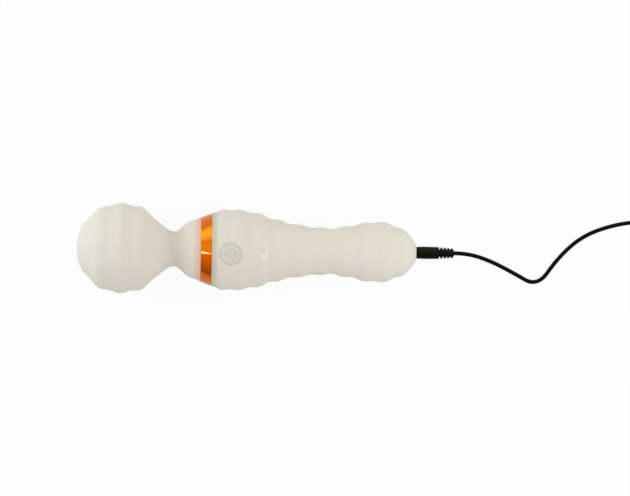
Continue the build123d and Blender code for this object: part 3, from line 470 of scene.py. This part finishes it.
handle_skin = finished("handle_skin", grip_skin(), silicone, "handle")
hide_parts("handle_sleeve")


# ------------------------------------------------------------------ mirrored ring
def ring_line():
    """Outline of the ring, with a slight crown and small rounded edges."""
    hidden, gap, edge = 17.7, 0.05, 0.25
    front, rear, corner = ring_front + gap, ring_rear - gap, 0.3 * edge
    crown = []
    for share in np.linspace(0, 1, 13):
        station = ring_front + gap + edge + share * (ring_rear - ring_front - 2 * (gap + edge))
        slope = ring_front_radius + share * (ring_rear_radius - ring_front_radius)
        crown.append((station, slope + 4 * ring_crown * share * (1 - share)))
    return [(front, hidden), (front, ring_front_radius - edge),
            (front + corner, ring_front_radius - corner), *crown,
            (rear - corner, ring_rear_radius - corner), (rear, ring_rear_radius - edge),
            (rear, hidden)]


ring = finished("mirror_ring", spun(ring_line(), grip_steps), ring_metal, "handle")
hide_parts("trim_ring")


# ------------------------------------------------------------------ buttons
# buttons are drawn as outlines of (radius, height) under a flat top, then draped
flat_top = 25
cap_steps = 96
pad_steps = 128


def drape_on_grip(bm):
    """Moves a button drawn under a flat top so that it follows the grip's own curve."""
    for vert in bm.verts:
        vert.co.z += grip_surface(vert.co.x / MM, vert.co.y / MM) * MM - flat_top * MM
    return bm


power_outline = [(0, 24.2), (lens_radius, 24.2), (lens_radius, 24.76), (3.8, 24.84), (4.0, 24.9),
                 (4.6, 24.95), (5.15, 24.93), (5.6, 24.87), (5.9, 24.77), (6.08, 24.62),
                 (6.19, 24.4), (cap_radius, 24.1), (cap_radius, 23.8), (0, 23.8)]
power_cap = finished("power_cap", drape_on_grip(standing(power_outline, cap_steps, power_station)),
                     button_plastic, "power_button")
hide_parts("power_button")
lens_side = lens_radius - 0.01
lens_outline = [(r, 24.66 + 0.08 * (r / lens_radius) ** 2) for r in np.linspace(0, 3.6, 8)]
lens_outline += [(3.67, 24.7), (lens_side, 24.62), (lens_side, 24.21), (0, 24.21)]
power_lens = finished("power_lens", drape_on_grip(standing(lens_outline, cap_steps, power_station)),
                      lens_plastic, "power_button")

pad_bottom = 24.25
pad_outline = [(r, flat_top - pad_dish(r)) for r in np.linspace(0, pad_radius, 23)]
pad_outline += [(pad_radius, pad_bottom), (0, pad_bottom)]
mode_pad = finished("mode_pad", drape_on_grip(standing(pad_outline, pad_steps, mode_station)),
                    silicone, "mode_button")
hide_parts("mode_button")

mark_rise = 0.03


def dash_mark(ahead, aside, length, thickness, tilted):
    """Small rounded dash, barely raised, on the mode button."""
    bm = bmesh.new()
    bmesh.ops.create_uvsphere(bm, u_segments=24, v_segments=12, radius=1.0)
    flatten = Matrix.Diagonal((length / 2 * MM, thickness / 2 * MM, mark_rise * MM, 1))
    turn = Matrix.Rotation(radians(tilted), 4, "Z")
    middle = Vector(((mode_station + ahead) * MM, aside * MM, 0))
    bmesh.ops.transform(bm, matrix=Matrix.Translation(middle) @ turn @ flatten, verts=bm.verts)
    for vert in bm.verts:
        station, side = vert.co.x / MM, vert.co.y / MM
        from_middle = float(np.hypot(station - mode_station, side))
        vert.co.z += (grip_surface(station, side) - pad_dish(from_middle)) * MM
    return bm


for mark_name, ahead, aside, length, thickness, tilted in (
        ("mode_mark_long", 1.1, -1.6, 4.6, 1.3, -36), ("mode_mark_short", 2.2, -0.1, 3.4, 1.0, 63)):
    mark = finished(mark_name, dash_mark(ahead, aside, length, thickness, tilted), mark_print,
                    "mode_button")

# ------------------------------------------------------------------ charging lead
relief_end = 233.0
straight_out = 8.3
cord_radius = 1.3
cord_exit = place(relief_end)
cord_run = [
    cord_exit, cord_exit + along * straight_out * MM,
    *(Vector(spot) * MM for spot in (
        (150.2, -4.6, 14.5), (165.0, -12.8, 5.8), (181.3, -22.3, 1.3), (193.6, -3.6, 1.3),
        (208.8, 10.6, 1.3), (229.5, 18.2, 1.3), (249.5, 20.5, 1.5), (266.4, 20.0, 1.9))),
]
cord_tail_run = [Vector(spot) * MM for spot in (
    (292.6, -6.2, 6.9), (294.4, -14.6, 5.6), (293.6, -23.1, 4.4), (287.8, -28.6, 3.9),
    (280.0, -28.6, 3.9))]
coil_middle = Vector((276.0, 3.4, 0)) * MM
coil_radius = 14.0
coil_lift = 0.6
# where each turn of the coil lies: its column outwards and its layer upwards
coil_columns = (2, 1, 0, 0, 1, 2, 2, 2)
coil_layers = (0, 0, 0, 1, 1, 1, 2, 2)
coil_turns = 7.25
points_a_turn = 16
# a curve runs this share of the way out to control points set round a circle
coil_hull = 0.981


def coil_points():
    """Turns beside and on each other, each moving over to the next in its last quarter."""
    spots = []
    for count in range(int(coil_turns * points_a_turn) + 1):
        turn, share = divmod(count / points_a_turn, 1)
        turn = int(turn)
        after = min(turn + 1, len(coil_columns) - 1)
        move = float(smooth_step(share, 0.75, 1.0))
        column = coil_columns[turn] * (1 - move) + coil_columns[after] * move
        layer = coil_layers[turn] * (1 - move) + coil_layers[after] * move
        radius = (coil_radius + (column - 1) * 2 * cord_radius) * MM / coil_hull
        angle = pi / 2 - 2 * pi * count / points_a_turn
        height = (coil_lift + (2 * layer + 1) * cord_radius) * MM
        spots.append(coil_middle + Vector((radius * cos(angle), radius * sin(angle), height)))
    return spots


def nurbs_tube(name, spots, radius, material, rings=6):
    """Round tube along one open NURBS curve with these control points."""
    shape = bpy.data.curves.new(name, "CURVE")
    shape.dimensions = "3D"
    shape.resolution_u = 10
    shape.bevel_depth = radius * MM
    shape.bevel_resolution = rings
    shape.use_fill_caps = True
    line = shape.splines.new("NURBS")
    line.points.add(len(spots) - 1)
    for point, spot in zip(line.points, spots):
        point.co = (*spot, 1)
    line.order_u = 3
    line.use_endpoint_u = True
    shape.materials.append(material)
    tube = bpy.data.objects.new(name, shape)
    bpy.context.scene.collection.objects.link(tube)
    return tube


lead = nurbs_tube("charging_lead", cord_run + coil_points() + cord_tail_run, cord_radius,
                  cord_black)
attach(lead, "charger")
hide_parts("charging_cord", "cord_coil", "cord_tail")


# ------------------------------------------------------------------ neck spring and leads
# the tubes through the neck are cut in two just behind the skins' own cut
tube_cut = waist + 0.4


def neck_halves(name, spots, radius, material, node):
    """Tube through the neck, in two halves cut just behind the skin's own cut."""
    whole = nurbs_tube(name, [wand @ spot for spot in spots], radius, material, rings=3)
    bpy.context.view_layer.update()
    mesh = bpy.data.meshes.new_from_object(whole.evaluated_get(
        bpy.context.evaluated_depsgraph_get()))
    bpy.data.objects.remove(whole)
    halves = []
    for half, keep_front in (("front", True), ("rear", False)):
        bm = bmesh.new()
        bm.from_mesh(mesh)
        bmesh.ops.transform(bm, matrix=wand.inverted(), verts=bm.verts)
        bmesh.ops.contextual_create(bm, geom=cut_away(bm, tube_cut, keep_front))
        halves.append(finished(f"{name}_{half}", bm, material))
    bend_with_neck(*halves)
    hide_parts(node)


def spring_points(start, length, turns, radius):
    """Control points of a helix round the wand's axis from one station."""
    a_turn, hull = 14, 0.975
    return [Vector(((start + length * n / (turns * a_turn)) * MM,
                    radius * MM / hull * sin(2 * pi * n / a_turn),
                    radius * MM / hull * cos(2 * pi * n / a_turn)))
            for n in range(turns * a_turn + 1)]


spring_wire_radius = 0.75
neck_halves("neck_coil", spring_points(start=45.65, length=28.7, turns=9, radius=6.45),
            spring_wire_radius, bright_steel, "neck_spring")
wire_radius = 0.6
wire_run = ((43.5, 0), (50, 0), (70, 0), (80.5, 0), (84.5, 4.5), (87.2, 7.0), (90.2, 7.0),
            (91.0, 7.8), (91.0, 9.95))
for wire, aside in (("motor_wire_left", -1.2), ("motor_wire_right", 1.2)):
    wire_spots = [Vector((s * MM, aside * MM, h * MM)) for s, h in wire_run]
    neck_halves(wire, wire_spots, wire_radius, lead_red, "motor_leads")


# ------------------------------------------------------------------ studio
def calculate(tree, operation, *values):
    """Output of a math node of a node tree, fed by sockets or plain numbers."""
    node = tree.nodes.new("ShaderNodeMath")
    node.operation = operation
    for socket, value in zip(node.inputs, values):
        if isinstance(value, (int, float)):
            socket.default_value = value
        else:
            tree.links.new(value, socket)
    return node.outputs[0]


def white_surface(name, paint_level, camera_share):
    """White surface that shows nearly white to the camera and still takes a shadow."""
    material = bpy.data.materials.new(name)
    material.use_nodes = True
    tree = material.node_tree
    nodes, links = tree.nodes, tree.links
    nodes.remove(nodes["Principled BSDF"])
    paint = nodes.new("ShaderNodeBsdfDiffuse")
    paint.inputs["Color"].default_value = (paint_level, paint_level, paint_level, 1)
    glow = nodes.new("ShaderNodeEmission")
    glow.inputs["Strength"].default_value = 1.0
    coordinates = nodes.new("ShaderNodeTexCoord")
    split = nodes.new("ShaderNodeSeparateXYZ")
    links.new(coordinates.outputs["Object"], split.inputs[0])
    rays = nodes.new("ShaderNodeLightPath")
    # mirrors see the side towards +Y as white, and the other side by its paint alone
    far_side = calculate(tree, "GREATER_THAN", split.outputs["Y"], 0.0)
    mirrored = calculate(tree, "MULTIPLY", rays.outputs["Is Glossy Ray"], far_side)
    seen = calculate(tree, "MAXIMUM", rays.outputs["Is Camera Ray"],
                     rays.outputs["Is Transmission Ray"])
    white_rays = calculate(tree, "MAXIMUM", seen, mirrored)
    mix = nodes.new("ShaderNodeMixShader")
    links.new(calculate(tree, "MULTIPLY", white_rays, camera_share), mix.inputs["Fac"])
    links.new(paint.outputs[0], mix.inputs[1])
    links.new(glow.outputs[0], mix.inputs[2])
    links.new(mix.outputs[0], nodes["Material Output"].inputs["Surface"])
    return material


floor_size = 6.0
floor_drop = 0.0002
bpy.ops.mesh.primitive_plane_add(size=floor_size, location=(0, 0, -floor_drop))
floor = bpy.context.object
floor.name = "floor"
floor.data.materials.append(white_surface("white_floor", paint_level=0.86, camera_share=0.92))

sky_strength = 0.765
world = bpy.data.worlds.new("studio")
world.use_nodes = True
bpy.context.scene.world = world
room = world.node_tree
sky = room.nodes["Background"]
sky.inputs["Color"].default_value = (1, 1, 1, 1)
sky.inputs["Strength"].default_value = sky_strength
backdrop = room.nodes.new("ShaderNodeBackground")
backdrop.inputs["Color"].default_value = (1, 1, 1, 1)
backdrop.inputs["Strength"].default_value = 1.0
# what mirrors see of the studio: brightness by the direction's angle from the zenith to +Y
brightest = 2.5
white, amber, ember = (1, 1, 1), (1, 1, 0.4), (1.32, 0.9, 0.3)
studio_panels = (
    (-180, 0.7, white), (-92, 0.7, white), (-88, 0.3, ember), (-76, 0.35, ember),
    (-60, 0.44, ember), (-44, 0.58, ember), (-28, 0.7, ember), (-9, 0.76, ember),
    (-4, 1.05, amber), (17, 1.2, amber), (39, 1.0, amber), (47, 1.6, white), (55, 2.25, white),
    (64, 2.45, white), (72, 2.5, white), (80, 2.3, white), (92, 1.5, white), (180, 0.9, white))
direction = room.nodes.new("ShaderNodeTexCoord")
split = room.nodes.new("ShaderNodeSeparateXYZ")
room.links.new(direction.outputs["Generated"], split.inputs[0])
# the angle as a share of the whole turn, half way at the zenith
angle = calculate(room, "MULTIPLY_ADD", calculate(room, "ARCTAN2", split.outputs["Y"],
                                                  split.outputs["Z"]), 0.5 / pi, 0.5)
panels = room.nodes.new("ShaderNodeValToRGB")
fill_ramp(panels, [((degrees_over + 180) / 360, [level / brightest * channel for channel in hue])
                   for degrees_over, level, hue in studio_panels])
room.links.new(angle, panels.inputs["Fac"])
# one slit of bright light near the zenith, on the head's side and wider towards it
slit_angle = 0.4805
slit_growth, slit_offset = -0.036, -0.0145
slit_colour = (1.9, 4.4, 48.0)
slit_width = calculate(room, "MULTIPLY_ADD", split.outputs["X"], slit_growth, slit_offset)
from_slit = calculate(room, "ABSOLUTE", calculate(room, "SUBTRACT", angle, slit_angle))
slit = calculate(room, "LESS_THAN", from_slit, slit_width)
slit_light = room.nodes.new("ShaderNodeVectorMath")
slit_light.operation = "SCALE"
slit_light.inputs[0].default_value = slit_colour
room.links.new(slit, slit_light.inputs["Scale"])
all_light = room.nodes.new("ShaderNodeVectorMath")
all_light.operation = "MULTIPLY_ADD"
all_light.inputs[1].default_value = (brightest, brightest, brightest)
room.links.new(panels.outputs["Color"], all_light.inputs[0])
room.links.new(slit_light.outputs[0], all_light.inputs[2])
mirrored_room = room.nodes.new("ShaderNodeBackground")
room.links.new(all_light.outputs[0], mirrored_room.inputs["Color"])
rays = room.nodes.new("ShaderNodeLightPath")
mirror_or_not = room.nodes.new("ShaderNodeMixShader")
choose = room.nodes.new("ShaderNodeMixShader")
room.links.new(rays.outputs["Is Glossy Ray"], mirror_or_not.inputs["Fac"])
room.links.new(sky.outputs[0], mirror_or_not.inputs[1])
room.links.new(mirrored_room.outputs[0], mirror_or_not.inputs[2])
room.links.new(rays.outputs["Is Camera Ray"], choose.inputs["Fac"])
room.links.new(mirror_or_not.outputs[0], choose.inputs[1])
room.links.new(backdrop.outputs[0], choose.inputs[2])
room.links.new(choose.outputs[0], room.nodes["World Output"].inputs["Surface"])


softbox_side = 0.3


def softbox(name, spot, aim, power, hue):
    """Square lamp that faces a point and isn't seen in mirrors."""
    lamp = bpy.data.lights.new(name, "AREA")
    lamp.shape = "RECTANGLE"
    lamp.size = lamp.size_y = softbox_side
    lamp.energy = power
    lamp.color = hue
    holder = bpy.data.objects.new(name, lamp)
    bpy.context.scene.collection.objects.link(holder)
    holder.location = spot
    holder.visible_glossy = False
    holder.rotation_euler = (Vector(aim) - Vector(spot)).to_track_quat("-Z", "Y").to_euler()


softbox("head_side", (-0.42, 0.16, 0.18), (-0.07, 0, 0.02), 0.52, (0.93, 1.0, 0.99))
softbox("tail_side", (0.3, 0.02, 0.25), (0.09, 0, 0.02), 0.275, (0.95, 1.0, 0.97))

# ------------------------------------------------------------------ camera
view_station = 147.0
view_rise = 1.92
view_width = 0.3888
view_distance = 2.5
sensor_width = 36
roll = 0.0206
away = Vector((0, 0.122, 0.9925)).normalized()
level_right = Vector((1, 0, 0))
level_up = away.cross(level_right)
right = level_right * cos(roll) + level_up * sin(roll)
over = level_up * cos(roll) - level_right * sin(roll)
target = place(view_station) + over * view_rise * MM
camera_data = bpy.data.cameras.new("camera")
camera_data.sensor_width = sensor_width
camera_data.lens = sensor_width * view_distance / view_width
camera = bpy.data.objects.new("camera", camera_data)
bpy.context.scene.collection.objects.link(camera)
camera.matrix_world = Matrix.Translation(target + away * view_distance) @ Matrix(
    (right, over, away)).transposed().to_4x4()
bpy.context.scene.camera = camera
bpy.context.scene.view_settings.view_transform = "Standard"
